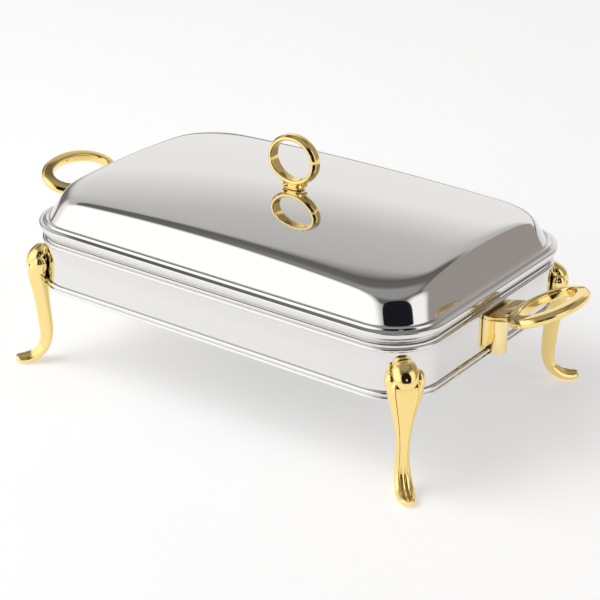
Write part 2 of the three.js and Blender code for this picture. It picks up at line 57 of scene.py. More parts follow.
def curveThrough(rows, t):
    # Catmull-Rom through rows of numbers, t from 0 to 1
    last = len(rows) - 1
    k = min(int(t * last), last - 1)
    u = t * last - k
    a, b = rows[k], rows[k + 1]
    before = rows[k - 1] if k else [2 * p - q for p, q in zip(a, b)]
    after = rows[k + 2] if k + 2 <= last else [2 * q - p for p, q in zip(a, b)]
    return [0.5 * (2 * q + (r - p) * u + (2 * p - 5 * q + 4 * r - s) * u * u
                   + (3 * q - p - 3 * r + s) * u ** 3)
            for p, q, r, s in zip(before, a, b, after)]


def rounded(corners, radius, steps=4):
    # a closed outline with each corner turned into a short curve
    outline = []
    for i, here in enumerate(corners):
        here = Vector(here)
        ends = []
        for other in (Vector(corners[i - 1]), Vector(corners[(i + 1) % len(corners)])):
            side = other - here
            ends.append(here + side.normalized() * min(radius, side.length * 0.45))
        for k in range(steps + 1):
            t = k / steps
            outline.append(tuple(ends[0] * (1 - t) ** 2 + here * 2 * t * (1 - t) + ends[1] * t * t))
    return outline


def loft(rings, endless=False, fan=True):
    # quads between rings of equal length; open ends are closed with a fan or one flat face
    count = len(rings[0])
    points = [tuple(point) for ring in rings for point in ring]
    faces = []
    for i in range(len(rings) if endless else len(rings) - 1):
        low, high = i * count, (i + 1) % len(rings) * count
        for j in range(count):
            k = (j + 1) % count
            faces.append((low + j, low + k, high + k, high + j))
    if endless:
        return points, faces
    for start, turn in ((0, -1), (len(points) - count, 1)):
        ring = list(range(start, start + count))[::turn]
        if fan:
            points.append(tuple(sum((Vector(points[i]) for i in ring), Vector()) / count))
            faces += [(ring[j], ring[(j + 1) % count], len(points) - 1) for j in range(count)]
        else:
            faces.append(tuple(ring))
    return points, faces


def join(*parts):
    points, faces = [], []
    for morePoints, moreFaces in parts:
        base = len(points)
        points += morePoints
        faces += [tuple(i + base for i in face) for face in moreFaces]
    return points, faces


def moved(part, change):
    return [tuple(change @ Vector(p)) for p in part[0]], part[1]


def lathe(profile, sides=48):
    # round the Z axis, from the lowest row to the highest; rows are (radius, height)
    turns = [2 * math.pi * k / sides for k in range(sides)]
    return loft([[(r * math.cos(a), r * math.sin(a), z) for a in turns] for r, z in profile])


def egg(radii, centre, sides=40, rows=24):
    profile = [math.pi * (i + 0.5) / rows - math.pi / 2 for i in range(rows)]
    part = lathe([(math.cos(a), math.sin(a)) for a in profile], sides)
    return moved(part, Matrix.Translation(centre) @ Matrix.Diagonal((*radii, 1)))


def slab(outline, low, high, edge, steps=3):
    # an upright plate with rounded top and bottom edges; its outline runs anticlockwise
    def drawnIn(amount, z):
        ring = []
        for j, here in enumerate(outline):
            before, after = Vector(outline[j - 1]), Vector(outline[(j + 1) % len(outline)])
            along = (after - before).normalized()
            ring.append((here[0] - along.y * amount, here[1] + along.x * amount, z))
        return ring

    turns = [math.pi / 2 * k / steps for k in range(steps + 1)]
    rings = [drawnIn(edge * (1 - math.sin(a)), low + edge * (1 - math.cos(a))) for a in turns]
    rings += [drawnIn(edge * (1 - math.cos(a)), high - edge * (1 - math.sin(a))) for a in turns]
    return loft(rings, fan=False)


def finishPiece(name, mesh, material, body, nodes=(), sharpAngle=38):
    mesh.polygons.foreach_set("use_smooth", [True] * len(mesh.polygons))
    mesh.set_sharp_from_angle(angle=math.radians(sharpAngle))
    mesh.materials.clear()
    mesh.materials.append(material)
    piece = bpy.data.objects.new(name, mesh)
    bpy.context.scene.collection.objects.link(piece)
    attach(piece, body)
    if nodes:
        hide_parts(*nodes)
    return piece


def makePiece(name, part, material, body, nodes=(), sharpAngle=38):
    points, faces = part
    mesh = bpy.data.meshes.new(name)
    mesh.from_pydata([(x * mm, y * mm, z * mm) for x, y, z in points], [], faces)
    work = bmesh.new()
    work.from_mesh(mesh)
    bmesh.ops.remove_doubles(work, verts=work.verts, dist=2e-6)
    bmesh.ops.recalc_face_normals(work, faces=work.faces)
    work.to_mesh(mesh)
    work.free()
    return finishPiece(name, mesh, material, body, nodes, sharpAngle)


def softEdged(node, name, material, body, edge, segments=2):
    # a copy of a frame piece with its sharp edges rounded, as moulding or deburring leaves them
    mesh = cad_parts[node].data.copy()
    mesh.name = name
    work = bmesh.new()
    work.from_mesh(mesh)
    bmesh.ops.remove_doubles(work, verts=work.verts, dist=2e-6)
    bmesh.ops.dissolve_limit(work, angle_limit=math.radians(2), verts=work.verts, edges=work.edges)
    sharp = [e for e in work.edges if len(e.link_faces) == 2 and e.calc_face_angle(0) > math.radians(35)]
    bmesh.ops.bevel(work, geom=sharp, offset=edge * mm, segments=segments, profile=0.5,
                    affect="EDGES", clamp_overlap=True)
    work.to_mesh(mesh)
    work.free()
    return finishPiece(name, mesh, material, body, [node])


# Surface effects shared by several finishes.

def newGroup(name, inputs, outputs):
    group = bpy.data.node_groups.new(name, "ShaderNodeTree")
    for label, kind, value in inputs:
        group.interface.new_socket(label, in_out="INPUT", socket_type=kind).default_value = value
    for label, kind in outputs:
        group.interface.new_socket(label, in_out="OUTPUT", socket_type=kind)
    return group, group.nodes.new("NodeGroupInput"), group.nodes.new("NodeGroupOutput")


def put(tree, kind, links=(), **values):
    # one node, with its properties, then its inputs by name or number
    node = tree.nodes.new(kind)
    for key, value in values.items():
        setattr(node, key, value)
    for socket, source in links:
        if hasattr(source, "is_output"):
            tree.links.new(source, node.inputs[socket])
        else:
            node.inputs[socket].default_value = source
    return node


floatKind, vectorKind, colorKind = "NodeSocketFloat", "NodeSocketVector", "NodeSocketColor"


def makePolishMarks():
    # faint wiping marks and finger haze on polished metal: a roughness between two values
    group, given, result = newGroup("polishMarks",
        [("Fine Scale", floatKind, 900), ("Haze Scale", floatKind, 14),
        ("Low", floatKind, 0.03), ("High", floatKind, 0.12), ("Ripple", floatKind, 0.02)],
        [("Roughness", floatKind), ("Normal", vectorKind)])
    place = put(group, "ShaderNodeTexCoord").outputs["Object"]
    stretch = put(group, "ShaderNodeVectorMath", [(0, place), (1, (1, 0.12, 0.5))], operation="MULTIPLY")
    fine = put(group, "ShaderNodeTexNoise", [("Vector", stretch.outputs[0]),
        ("Scale", given.outputs["Fine Scale"]), ("Detail", 2)])
    haze = put(group, "ShaderNodeTexNoise", [("Vector", place), ("Scale", given.outputs["Haze Scale"]),
        ("Detail", 4), ("Roughness", 0.6)])
    both = put(group, "ShaderNodeMath", [(0, fine.outputs["Fac"]), (1, haze.outputs["Fac"])],
        operation="MULTIPLY")
    spread = put(group, "ShaderNodeMapRange", [(0, both.outputs[0]), (1, 0.15), (2, 0.42),
        (3, given.outputs["Low"]), (4, given.outputs["High"])])
    swell = put(group, "ShaderNodeTexNoise", [("Vector", place), ("Scale", 9), ("Detail", 1)])
    bump = put(group, "ShaderNodeBump", [("Strength", given.outputs["Ripple"]), ("Distance", 0.004),
        ("Height", swell.outputs["Fac"])])
    group.links.new(spread.outputs[0], result.inputs["Roughness"])
    group.links.new(bump.outputs[0], result.inputs["Normal"])
    return group


def makeGrain():
    # fine moulded or fibrous grain: a mask for colour and a normal
    group, given, result = newGroup("surfaceGrain", [("Scale", floatKind, 600), ("Depth", floatKind, 0.3),
        ("Height", floatKind, 0.0004)], [("Mask", floatKind), ("Normal", vectorKind)])
    place = put(group, "ShaderNodeTexCoord").outputs["Object"]
    coarse = put(group, "ShaderNodeTexNoise", [("Vector", place), ("Scale", given.outputs["Scale"]),
        ("Detail", 6), ("Roughness", 0.65)])
    cells = put(group, "ShaderNodeTexVoronoi", [("Vector", place), ("Scale", given.outputs["Scale"])])
    mix = put(group, "ShaderNodeMath", [(0, coarse.outputs["Fac"]), (1, cells.outputs["Distance"])],
        operation="ADD")
    bump = put(group, "ShaderNodeBump", [("Strength", given.outputs["Depth"]),
        ("Distance", given.outputs["Height"]), ("Height", mix.outputs[0])])
    group.links.new(coarse.outputs["Fac"], result.inputs["Mask"])
    group.links.new(bump.outputs[0], result.inputs["Normal"])
    return group


def makeEdgeWearAndCreaseShade():
    # lighter along worn edges, and painted shade darker down in the creases and corners
    group, given, result = newGroup("edgeWearAndCreaseShade", [("Color", colorKind, (1, 1, 1, 1)),
        ("Worn", colorKind, (1, 1, 1, 1)),
        ("Crease", colorKind, (0, 0, 0, 1)), ("Amount", floatKind, 0.5)], [("Color", colorKind)])
    shape = put(group, "ShaderNodeNewGeometry").outputs["Pointiness"]
    # painted shade: where Pointiness is low, in hollows and inside corners, the colour mixes toward the
    # crease shade colour
    low = put(group, "ShaderNodeMapRange", [(0, shape), (1, 0.5), (2, 0.44), (3, 0),
        (4, given.outputs["Amount"])])
    high = put(group, "ShaderNodeMapRange", [(0, shape), (1, 0.51), (2, 0.57), (3, 0),
        (4, given.outputs["Amount"])])
    dark = put(group, "ShaderNodeMix", [(0, low.outputs[0]), (6, given.outputs["Color"]),
        (7, given.outputs["Crease"])], data_type="RGBA")
    worn = put(group, "ShaderNodeMix", [(0, high.outputs[0]), (6, dark.outputs[2]),
        (7, given.outputs["Worn"])], data_type="RGBA")
    group.links.new(worn.outputs[2], result.inputs["Color"])
    return group


polishMarks, surfaceGrain, edgeWearAndCreaseShade = makePolishMarks(), makeGrain(), makeEdgeWearAndCreaseShade()


# Finishes.

def newFinish(name, **sockets):
    material = bpy.data.materials.new(name)
    material.use_nodes = True
    shader = material.node_tree.nodes["Principled BSDF"]
    for label, value in sockets.items():
        shader.inputs[label.replace("_", " ")].default_value = value
    return material, material.node_tree, shader


def placeGroup(tree, group, **values):
    node = put(tree, "ShaderNodeGroup", node_tree=group)
    for label, value in values.items():
        node.inputs[label.replace("_", " ")].default_value = value
    return node


def polishedMetal(name, color, worn, creaseShade, **marks):
    material, tree, shader = newFinish(name, Metallic=1)
    rub = placeGroup(tree, polishMarks, **marks)
    # the crease colour is painted shade in hollows and corners; the worn colour is lighter edge wear
    wear = placeGroup(tree, edgeWearAndCreaseShade, Color=color, Worn=worn, Crease=creaseShade, Amount=0.6)
    tree.links.new(wear.outputs["Color"], shader.inputs["Base Color"])
    tree.links.new(rub.outputs["Roughness"], shader.inputs["Roughness"])
    tree.links.new(rub.outputs["Normal"], shader.inputs["Normal"])
    return material


def grainedFinish(name, light, dark, roughness, metallic=0, scale=600, depth=0.3, height=0.0004, **sockets):
    material, tree, shader = newFinish(name, Metallic=metallic, Roughness=roughness, **sockets)
    grain = placeGroup(tree, surfaceGrain, Scale=scale, Depth=depth, Height=height)
    tint = put(tree, "ShaderNodeMix", [(0, grain.outputs["Mask"]), (6, dark), (7, light)], data_type="RGBA")
    # the dark grain tone is also laid into hollows and corners as painted shade
    wear = placeGroup(tree, edgeWearAndCreaseShade, Worn=light, Crease=dark, Amount=0.35)
    tree.links.new(tint.outputs[2], wear.inputs["Color"])
    tree.links.new(wear.outputs["Color"], shader.inputs["Base Color"])
    tree.links.new(grain.outputs["Normal"], shader.inputs["Normal"])
    return material


def brushedMetal(name, color, roughness, scale=(1, 40, 1), depth=0.12):
    # rolled or mill-finished sheet with fine lines along one direction
    material, tree, shader = newFinish(name, Metallic=1, Base_Color=color)
    place = put(tree, "ShaderNodeTexCoord").outputs["Object"]
    stretch = put(tree, "ShaderNodeMapping", [("Vector", place), ("Scale", scale)])
    lines = put(tree, "ShaderNodeTexNoise", [("Vector", stretch.outputs[0]), ("Scale", 120), ("Detail", 5)])
    tint = put(tree, "ShaderNodeMix", [(0, lines.outputs["Fac"]), (6, [c * 0.82 for c in color[:3]] + [1]),
        (7, color)], data_type="RGBA")
    rough = put(tree, "ShaderNodeMapRange", [(0, lines.outputs["Fac"]), (1, 0.3), (2, 0.7),
        (3, roughness * 0.75), (4, roughness * 1.3)])
    bump = put(tree, "ShaderNodeBump", [("Strength", depth), ("Distance", 0.0003),
        ("Height", lines.outputs["Fac"])])
    tree.links.new(tint.outputs[2], shader.inputs["Base Color"])
    tree.links.new(rough.outputs[0], shader.inputs["Roughness"])
    tree.links.new(bump.outputs[0], shader.inputs["Normal"])
    return material


# the third colour of each polished finish is painted shade for its creases and corners
mirrorSteel = polishedMetal("mirrorSteel", (0.80, 0.79, 0.775, 1), (0.86, 0.85, 0.84, 1),
    (0.5, 0.48, 0.46, 1), Low=0.035, High=0.085, Ripple=0.012)
# satin stainless for the pan; its base colour is darker than the lid's partly as painted shade for the dark
# gap under the lid's lip
satinSteelWithPaintedShade = polishedMetal("satinSteelWithPaintedShade", (0.64, 0.63, 0.62, 1), (0.72, 0.71, 0.7, 1), (0.4, 0.39, 0.37, 1),
    Low=0.14, High=0.24, Ripple=0.012)
goldPlate = polishedMetal("goldPlate", (1.0, 0.76, 0.30, 1), (1.0, 0.86, 0.5, 1), (0.36, 0.22, 0.05, 1),
    Low=0.06, High=0.15, Ripple=0.05, Haze_Scale=40)
sheetSteel = brushedMetal("sheetSteel", (0.55, 0.55, 0.54, 1), 0.3)
rolledAluminium = brushedMetal("rolledAluminium", (0.68, 0.69, 0.7, 1), 0.34, scale=(40, 1, 1))
zincSteel = grainedFinish("zincSteel", (0.68, 0.69, 0.68, 1), (0.5, 0.5, 0.48, 1), 0.28, metallic=1,
    scale=300, depth=0.1)
contactBrass = grainedFinish("contactBrass", (0.78, 0.56, 0.24, 1), (0.6, 0.4, 0.15, 1), 0.25, metallic=1,
    scale=400, depth=0.1)
blackPlastic = grainedFinish("blackPlastic", (0.035, 0.035, 0.037, 1), (0.02, 0.02, 0.021, 1), 0.42,
    scale=1400)
glossPlastic = grainedFinish("glossPlastic", (0.028, 0.028, 0.03, 1), (0.018, 0.018, 0.019, 1), 0.16,
    scale=900, depth=0.05)
whiteCeramic = grainedFinish("whiteCeramic", (0.84, 0.83, 0.79, 1), (0.7, 0.68, 0.63, 1), 0.3, scale=200,
    depth=0.12)
micaSheet = grainedFinish("micaSheet", (0.6, 0.45, 0.24, 1), (0.34, 0.22, 0.1, 1), 0.4, scale=90, depth=0.5)
mineralWool = grainedFinish("mineralWool", (0.82, 0.79, 0.7, 1), (0.6, 0.56, 0.47, 1), 0.95, scale=260,
    depth=1, height=0.002)
leadInsulation = grainedFinish("leadInsulation", (0.24, 0.24, 0.25, 1), (0.13, 0.13, 0.14, 1), 0.55,
    scale=700)
amberLens = grainedFinish("amberLens", (0.95, 0.42, 0.07, 1), (0.7, 0.24, 0.03, 1), 0.12, scale=120,
    depth=0.1, Transmission_Weight=0.35, IOR=1.49)
print("finishes ready")


# The base outline that the pressings follow.
base = dict(length=400, width=253, corner=46, rim=76.8, lowRoll=(79.6, 2.2), highRoll=(117, 1.8), top=122.5,
    wallInset=2.2, wall=1.4)
outlineSteps = dict(corner=22, long=34, short=22)


def outline(inset, radius=None):
    # the base outline drawn in by inset, anticlockwise from the right end's near corner
    a, b = base["length"] / 2 - inset, base["width"] / 2 - inset
    r = base["corner"] - inset if radius is None else radius
    ring = []
    centres = [(a - r, b - r), (-a + r, b - r), (-a + r, -b + r), (a - r, -b + r)]
    for q, (x, y) in enumerate(centres):
        for k in range(outlineSteps["corner"] + 1):
            angle = (q + k / outlineSteps["corner"]) * math.pi / 2
            ring.append((x + r * math.cos(angle), y + r * math.sin(angle)))
        nextX, nextY = centres[(q + 1) % 4]
        turned = (q + 1) * math.pi / 2
        start, end = Vector(ring[-1]), Vector((nextX + r * math.cos(turned), nextY + r * math.sin(turned)))
        steps = outlineSteps["short" if q % 2 else "long"]
        ring += [tuple(start.lerp(end, k / steps)) for k in range(1, steps)]
    return ring


def level(ring, z):
    return [(x, y, z) for x, y in ring]


# The lid is one drawn sheet with a crowned dome, a flat flange and a rolled lip.
lid = dict(lipOut=1.9, lipBottom=129.5, lipTop=134.1, domeInset=7, skin=1.2, top=171.4, seat=136.2,
    crownLong=2580, crownShort=702, steep=2.6, bend=5, cornerGrowth=0.3, reach=32)


def domeHeight(x, y, rise, below=0):
    crown = lid["top"] - lid["seat"] - x * x / (2 * lid["crownLong"]) - y * y / (2 * lid["crownShort"])
    k = lid["bend"]
    return lid["seat"] - below + crown * rise / (rise ** k + crown ** k) ** (1 / k)


def domeRings(below):
    # from the groove inside the lip up to the middle; below moves the surface down for the underside
    rings = []
    shoulderRows, crownRows = 46, 26
    for i in range(shoulderRows + 1):
        inward = lid["reach"] * (i / shoulderRows) ** 1.2
        inset = lid["domeInset"] + below + inward
        radius = base["corner"] - lid["domeInset"] - below + lid["cornerGrowth"] * inward
        rise = lid["steep"] * inward + 1e-4
        rings.append([(x, y, domeHeight(x, y, rise, below)) for x, y in outline(inset, radius)])
    last = rings[-1]
    for i in range(1, crownRows):
        share = 1 - i / crownRows
        rise = lid["steep"] * lid["reach"] / share ** 2
        rings.append([(x * share, y * share, domeHeight(x * share, y * share, rise, below))
            for x, y, z in last])
    return rings


def lidLip():
    # from the dome's groove over a raised ridge, round the rolled lip and back underneath
    out, bottom, top, r = lid["lipOut"], lid["lipBottom"], lid["lipTop"], 1.2
    ridge = [(6.9, 136.1), (6.5, 136.05), (6.0, 136.3), (5.4, 136.65), (4.8, 136.78), (4.2, 136.72),
        (3.6, 136.4), (3.15, 135.9), (2.85, 135.3), (2.65, 134.75), (2.3, 134.4), (1.7, 134.22), (0.8, top)]
    rows = ridge + [(-out + r - r * math.sin(a), top - r + r * math.cos(a))
        for a in (0.2, 0.6, 1.0, 1.35, math.pi / 2)]
    rows += [(-out + r - r * math.cos(a), bottom + r - r * math.sin(a)) for a in (0, 0.4, 0.8, 1.2, 1.5)]
    rows += [(1.6, bottom), (2.4, bottom + 0.15), (2.8, bottom + 0.7), (2.9, bottom + 2), (3.1, 133.2)]
    rows += [(3.7, 133.9), (4.3, 134.9), (5.2, 135.4), (6.6, 135.1), (7.6, 134.9)]
    return [level(outline(inset), z) for inset, z in rows]


def makeLid():
    outer = domeRings(0)
    inner = domeRings(lid["skin"])
    return loft(outer[::-1] + lidLip() + inner)


makePiece("lidPressing", makeLid(), mirrorSteel, "lid", ["lid_shell"], sharpAngle=42)


# The lid's handle is an upright oval ring on a waisted foot with scrolled ends.
finial = dict(width=49.4, height=43.8, bar=4.6, depth=11.2, centre=196.8, foot=171.7)


def ovalRing(halfX, halfY, section, steps=96):
    # an oval in the XY plane; the section's rows are (outward, up)
    rings = []
    for k in range(steps):
        angle = 2 * math.pi * k / steps
        x, y = halfX * math.cos(angle), halfY * math.sin(angle)
        out = Vector((halfY * math.cos(angle), halfX * math.sin(angle))).normalized()
        rings.append([(x + out.x * o, y + out.y * o, up) for o, up in section])
    return loft(rings, endless=True)


def makeFinial():
    bar, half = finial["bar"] / 2, finial["depth"] / 2
    section = rounded([(-bar, -half * 0.82), (-bar * 0.6, -half), (bar * 0.15, -half), (bar, -half * 0.5),
        (bar, half * 0.5), (bar * 0.15, half), (-bar * 0.6, half), (-bar, half * 0.82)], 0.7, 3)
    ring = ovalRing(finial["width"] / 2 - bar, finial["height"] / 2 - bar, section)
    ring = moved(ring, Matrix.Translation((0, 0, finial["centre"])) @ Matrix.Rotation(math.pi / 2, 4, "X"))
    low = finial["foot"]
    # half widths across the ring and along its thickness, from the foot up into the ring
    waist = [(low, 9.4, 5.4), (low + 0.4, 9.9, 6.0), (low + 0.9, 9.7, 5.8), (low + 1.4, 7.4, 4.6),
        (low + 2.1, 6.2, 4.0), (low + 3.0, 6.6, 4.0), (low + 4.0, 8.4, 4.4), (low + 5.0, 9.6, 4.6),
        (low + 5.8, 8.0, 3.6)]
    rings = []
    for i in range(25):
        z, across, thick = curveThrough(waist, i / 24)
        rings.append([(across * power(math.cos(a), 0.8), thick * power(math.sin(a), 0.8), z)
                      for a in (2 * math.pi * k / 40 for k in range(40))])
    scrolls = []
    for side in (-1, 1):
        curl = lathe([(0.6, -4.6), (1.4, -4.2), (1.7, -3), (1.7, 3), (1.4, 4.2), (0.6, 4.6)], 24)
        place = Matrix.Translation((side * 9.4, 0, low + 3.5)) @ Matrix.Rotation(math.pi / 2, 4, "X")
        scrolls.append(moved(curl, place))
    return join(ring, loft(rings), *scrolls)


makePiece("lidRingHandle", makeFinial(), goldPlate, "lid", ["lid_finial"], sharpAngle=40)
print("lid ready")


# The food pan is deep drawn, with a rolled rim that hooks over the base.
pan = dict(floor=93.4, flange=122.8, skin=1.2, wallInset=13.5)


def makePan():
    floor, skin, inset = pan["floor"], pan["skin"], pan["wallInset"]
    wall = inset + skin
    cornerRows = [math.pi / 2 * k / 10 for k in range(11)]
    under = [(28, floor, 24, s) for s in (0.05, 0.3, 0.6, 0.8)]
    under += [(inset + 10 * (1 - math.sin(a)), floor + 10 * (1 - math.cos(a))) for a in cornerRows]
    rim = [(inset - 0.6, pan["flange"] - 0.4), (inset - 1.4, pan["flange"]), (3.2, pan["flange"]),
        (2.6, 123.4), (2.3, 124.6), (1.5, 125.2)]
    rim += [(2.2 - 1.7 * math.cos(a), 127.3 + 1.85 * math.sin(a)) for a in (-0.9, -0.5, 0, 0.5, 1.0, 1.4)]
    rim += [(2.7, 129.1), (3.5, 128.5), (3.9, 127.4), (4.0, 125.8), (4.4, 124.6), (5.2, 124.1)]
    rim += [(inset - 1.6, 124.0), (wall - 0.9, 123.7), (wall - 0.3, 122.8)]
    over = [(wall + 9 * (1 - math.sin(a)), floor + skin + 9 * (1 - math.cos(a))) for a in cornerRows[::-1]]
    over += [(28, floor + skin, 24, s) for s in (0.8, 0.6, 0.3, 0.05)]
    rings = []
    for row in under + rim + over:
        radius, share = (row[2], row[3]) if len(row) == 4 else (None, 1)
        rings.append([(x * share, y * share, row[1]) for x, y in outline(row[0], radius)])
    return loft(rings)


makePiece("drawnPan", makePan(), satinSteelWithPaintedShade, "pan", ["food_pan"])


# The base is a mirror band between two rolled beads.
def makeBand():
    out, rim, top = base["wallInset"], base["rim"], base["top"]
    inner = out + base["wall"]
    turns = [math.radians(a) for a in range(-90, 91, 18)]

    def roll(bottom, radius):
        return [(radius - radius * math.cos(a), bottom + radius + radius * math.sin(a)) for a in turns]

    rows = [(inner, rim), (1.7, rim), (1.0, rim + 0.15), (0.7, rim + 0.6), (0.7, rim + 1.3), (1.0, rim + 1.8),
        (1.7, rim + 2.3)]
    lowTop, highBottom = base["lowRoll"][0] + 2 * base["lowRoll"][1], base["highRoll"][0]
    rows += roll(*base["lowRoll"]) + [(out, lowTop + 0.3), (out, lowTop + 1), (out, 100),
        (out, highBottom - 0.9)]
    rows += [(out, highBottom - 0.3)] + roll(*base["highRoll"])
    rows += [(out + 0.1, 120.7), (out + 0.2, 121.2), (out + 0.2, top - 0.4), (out + 0.6, top),
        (inner - 0.3, top)]
    rows += [(inner, top - 0.4), (inner, 100), (inner, 85.2), (inner + 0.6, 84.5), (13, 84.5), (13, 83.2),
        (inner + 1.4, 83.2), (inner + 0.8, 82.8), (inner + 0.8, rim + 0.6)]
    return loft([level(outline(inset), z) for inset, z in rows], endless=True)


makePiece("mirrorBand", makeBand(), mirrorSteel, "base", ["body_shell"])
print("pan and band ready")


# A leg is an egg between two lobes over a creased shaft that sweeps out to a fluted toe.
leg = dict(egg=(7.4, 10.6, 12.6), eggCentre=(5.6, 0, 101.8), eggLean=0.7, lobe=(6.4, 5.2, 8.4),
    lobeCentre=(3.8, 10.8, 96.4))
legRows = [  # outward, height, half depth, half width, share of the width that is the front facet
    (2.4, 104, 4.4, 8.0, 0.6), (4.6, 98, 7.0, 12.0, 0.6), (5.7, 92, 8.3, 14.2, 0.6),
    (5.7, 84, 8.4, 13.4, 0.58), (4.1, 69, 7.2, 9.7, 0.56), (2.8, 53, 6.4, 6.8, 0.54),
    (1.8, 38, 6.2, 5.8, 0.5), (1.5, 26, 5.6, 6.0, 0.5), (4.8, 14.5, 4.9, 6.9, 0.5),
    (13, 6.6, 4.3, 7.7, 0.5), (21.5, 3.9, 4.0, 7.4, 0.5), (27.6, 4.0, 3.3, 5.6, 0.5),
    (29.8, 4.1, 2.2, 3.0, 0.5)]


def legSection(depth, width, facet, flute):
    # (outward, sideways): a flat front facet, sloping cheeks and a round back
    ring = []
    for k in range(13):  # front facet, crowned slightly, with two flutes near the toe
        v = -1 + k / 6
        flutes = flute * (0.16 + 0.34 * math.sin(math.pi * (v + 1)) ** 2) * min(1, 1.4 * (1 - abs(v)) + 0.2)
        ring.append((depth * (1 - 0.05 * v * v) - depth * flutes, v * width * facet))
    groove = [(depth * 0.8, width * (facet + 0.015)), (depth * 0.87, width * (facet + 0.06))]
    ring += groove
    for k in range(1, 6):  # cheek
        t = k / 6
        ring.append((depth * (0.9 - 0.75 * t ** 1.5), width * (facet + (1 - facet) * t ** 0.8)))
    for k in range(17):  # back
        angle = math.pi * k / 16
        ring.append((depth * (0.15 - 1.15 * power(math.sin(angle), 0.8)),
            width * power(math.cos(angle), 0.9)))
    for k in range(1, 6):
        t = 1 - k / 6
        ring.append((depth * (0.9 - 0.75 * t ** 1.5), -width * (facet + (1 - facet) * t ** 0.8)))
    return ring + [(u, -v) for u, v in groove[::-1]]


def makeLeg(signs):
    rings = []
    steps = 90
    for i in range(steps + 1):
        t = i / steps
        out, z, depth, width, facet = curveThrough(legRows, t)
        ahead, behind = curveThrough(legRows, min(t + 0.01, 1)), curveThrough(legRows, max(t - 0.01, 0))
        along = Vector((ahead[0] - behind[0], ahead[1] - behind[1])).normalized()
        flute = smoothStep((t - 0.56) / 0.16)
        rings.append([(out - along.y * u, v, max(z + along.x * u, 0))
            for u, v in legSection(depth, width, facet, flute)])
    lean = Matrix.Translation(leg["eggCentre"]) @ Matrix.Rotation(-leg["eggLean"], 4, "Y")
    parts = [loft(rings), moved(egg(leg["egg"], (0, 0, 0)), lean)]
    x, y, z = leg["lobeCentre"]
    parts += [egg(leg["lobe"], (x, side * y, z), 32, 18) for side in (-1, 1)]
    reach = base["corner"] * math.sqrt(0.5)
    corner = Vector((signs[0] * (base["length"] / 2 - base["corner"] + reach),
        signs[1] * (base["width"] / 2 - base["corner"] + reach), 0))
    turn = Matrix.Rotation(math.atan2(signs[1], signs[0]), 4, "Z")
    return moved(join(*parts), Matrix.Translation(corner) @ turn)


legs = [("legFrontRight", "leg_front_right", (1, -1)), ("legFrontLeft", "leg_front_left", (-1, -1)),
    ("legBackRight", "leg_back_right", (1, 1)), ("legBackLeft", "leg_back_left", (-1, 1))]
for name, node, signs in legs:
    makePiece(name, makeLeg(signs), goldPlate, "base", [node], sharpAngle=28)


# A side handle has a back plate, a half-round post, a shelf with two arms and a tilted oval ring.
handle = dict(centre=245.5, height=130, reachX=24.1, reachY=36.5, bar=11, thick=9, tilt=0.355, wall=198.1,
    plate=(13, 19, 2.9), plateCentre=101, web=(111.9, 116.1), webRise=5.4)


def makeHandle(turn):
    wall = handle["wall"]
    bar, half = handle["bar"] / 2, handle["thick"] / 2
    section = rounded([(-bar, -half * 0.72), (-bar, half * 0.62), (-bar * 0.78, half),
        (bar * 0.55, half * 0.74),
        (bar, half * 0.08), (bar * 0.9, -half * 0.7), (bar * 0.4, -half), (-bar * 0.7, -half)], 1.1, 4)
    ring = ovalRing(handle["reachX"], handle["reachY"], section, 120)
    tilt = Matrix.Rotation(-handle["tilt"], 4, "Y")
    ring = moved(ring, Matrix.Translation((handle["centre"], 0, handle["height"])) @ tilt)
    # the plate lies against the band between its beads: drawn flat, then stood up
    halfHigh, halfWide, deep = handle["plate"]
    corners = [(-halfHigh, -halfWide), (halfHigh, -halfWide), (halfHigh, halfWide), (-halfHigh, halfWide)]
    plate = slab(rounded(corners, 1.6, 4), 0, deep, 0.7)
    stand = Matrix.Translation((wall, 0, handle["plateCentre"])) @ Matrix.Rotation(math.pi / 2, 4, "Y")
    plate = moved(plate, stand)
    post = lathe([(6.6, 78), (7.6, 78.5), (8, 79.6), (8, 113)], 48)
    bulge = Matrix.Translation((wall + 3.4, 0, 0))
    post = moved(post, bulge)
    post = [(max(x, wall + (2.6 if z < 87.5 else 0.2)), y, z) for x, y, z in post[0]], post[1]
    shelf = rounded([(wall + 0.2, -19), (206, -17.4), (214, -17.6), (223.5, -20.6), (225.5, -11), (214, -9.4),
        (208.4, -8), (208.4, 8), (214, 9.4), (225.5, 11), (223.5, 20.6), (214, 17.6), (206, 17.4),
        (wall + 0.2, 19)], 1.2, 3)
    web = slab(shelf, *handle["web"], 0.9)
    web = [(x, y, z + handle["webRise"] * smoothStep((x - 207) / 18) ** 0.8) for x, y, z in web[0]], web[1]
    return moved(join(plate, post, web, ring), Matrix.Rotation(turn, 4, "Z"))


makePiece("handleRight", makeHandle(0), goldPlate, "base", ["handle_right"], sharpAngle=34)
makePiece("handleLeft", makeHandle(math.pi), goldPlate, "base", ["handle_left"], sharpAngle=34)
print("legs and handles ready")


# Pan-head screws with a cross recess, placed by geometry nodes at marked points.
screws = dict(domeRadius=1.9, recessLength=1.15, recessWidth=0.24, recessDepth=0.55, seed=7)


def named(tree, label, kind):
    return put(tree, "GeometryNodeInputNamedAttribute", [("Name", label)],
        data_type=kind).outputs["Attribute"]


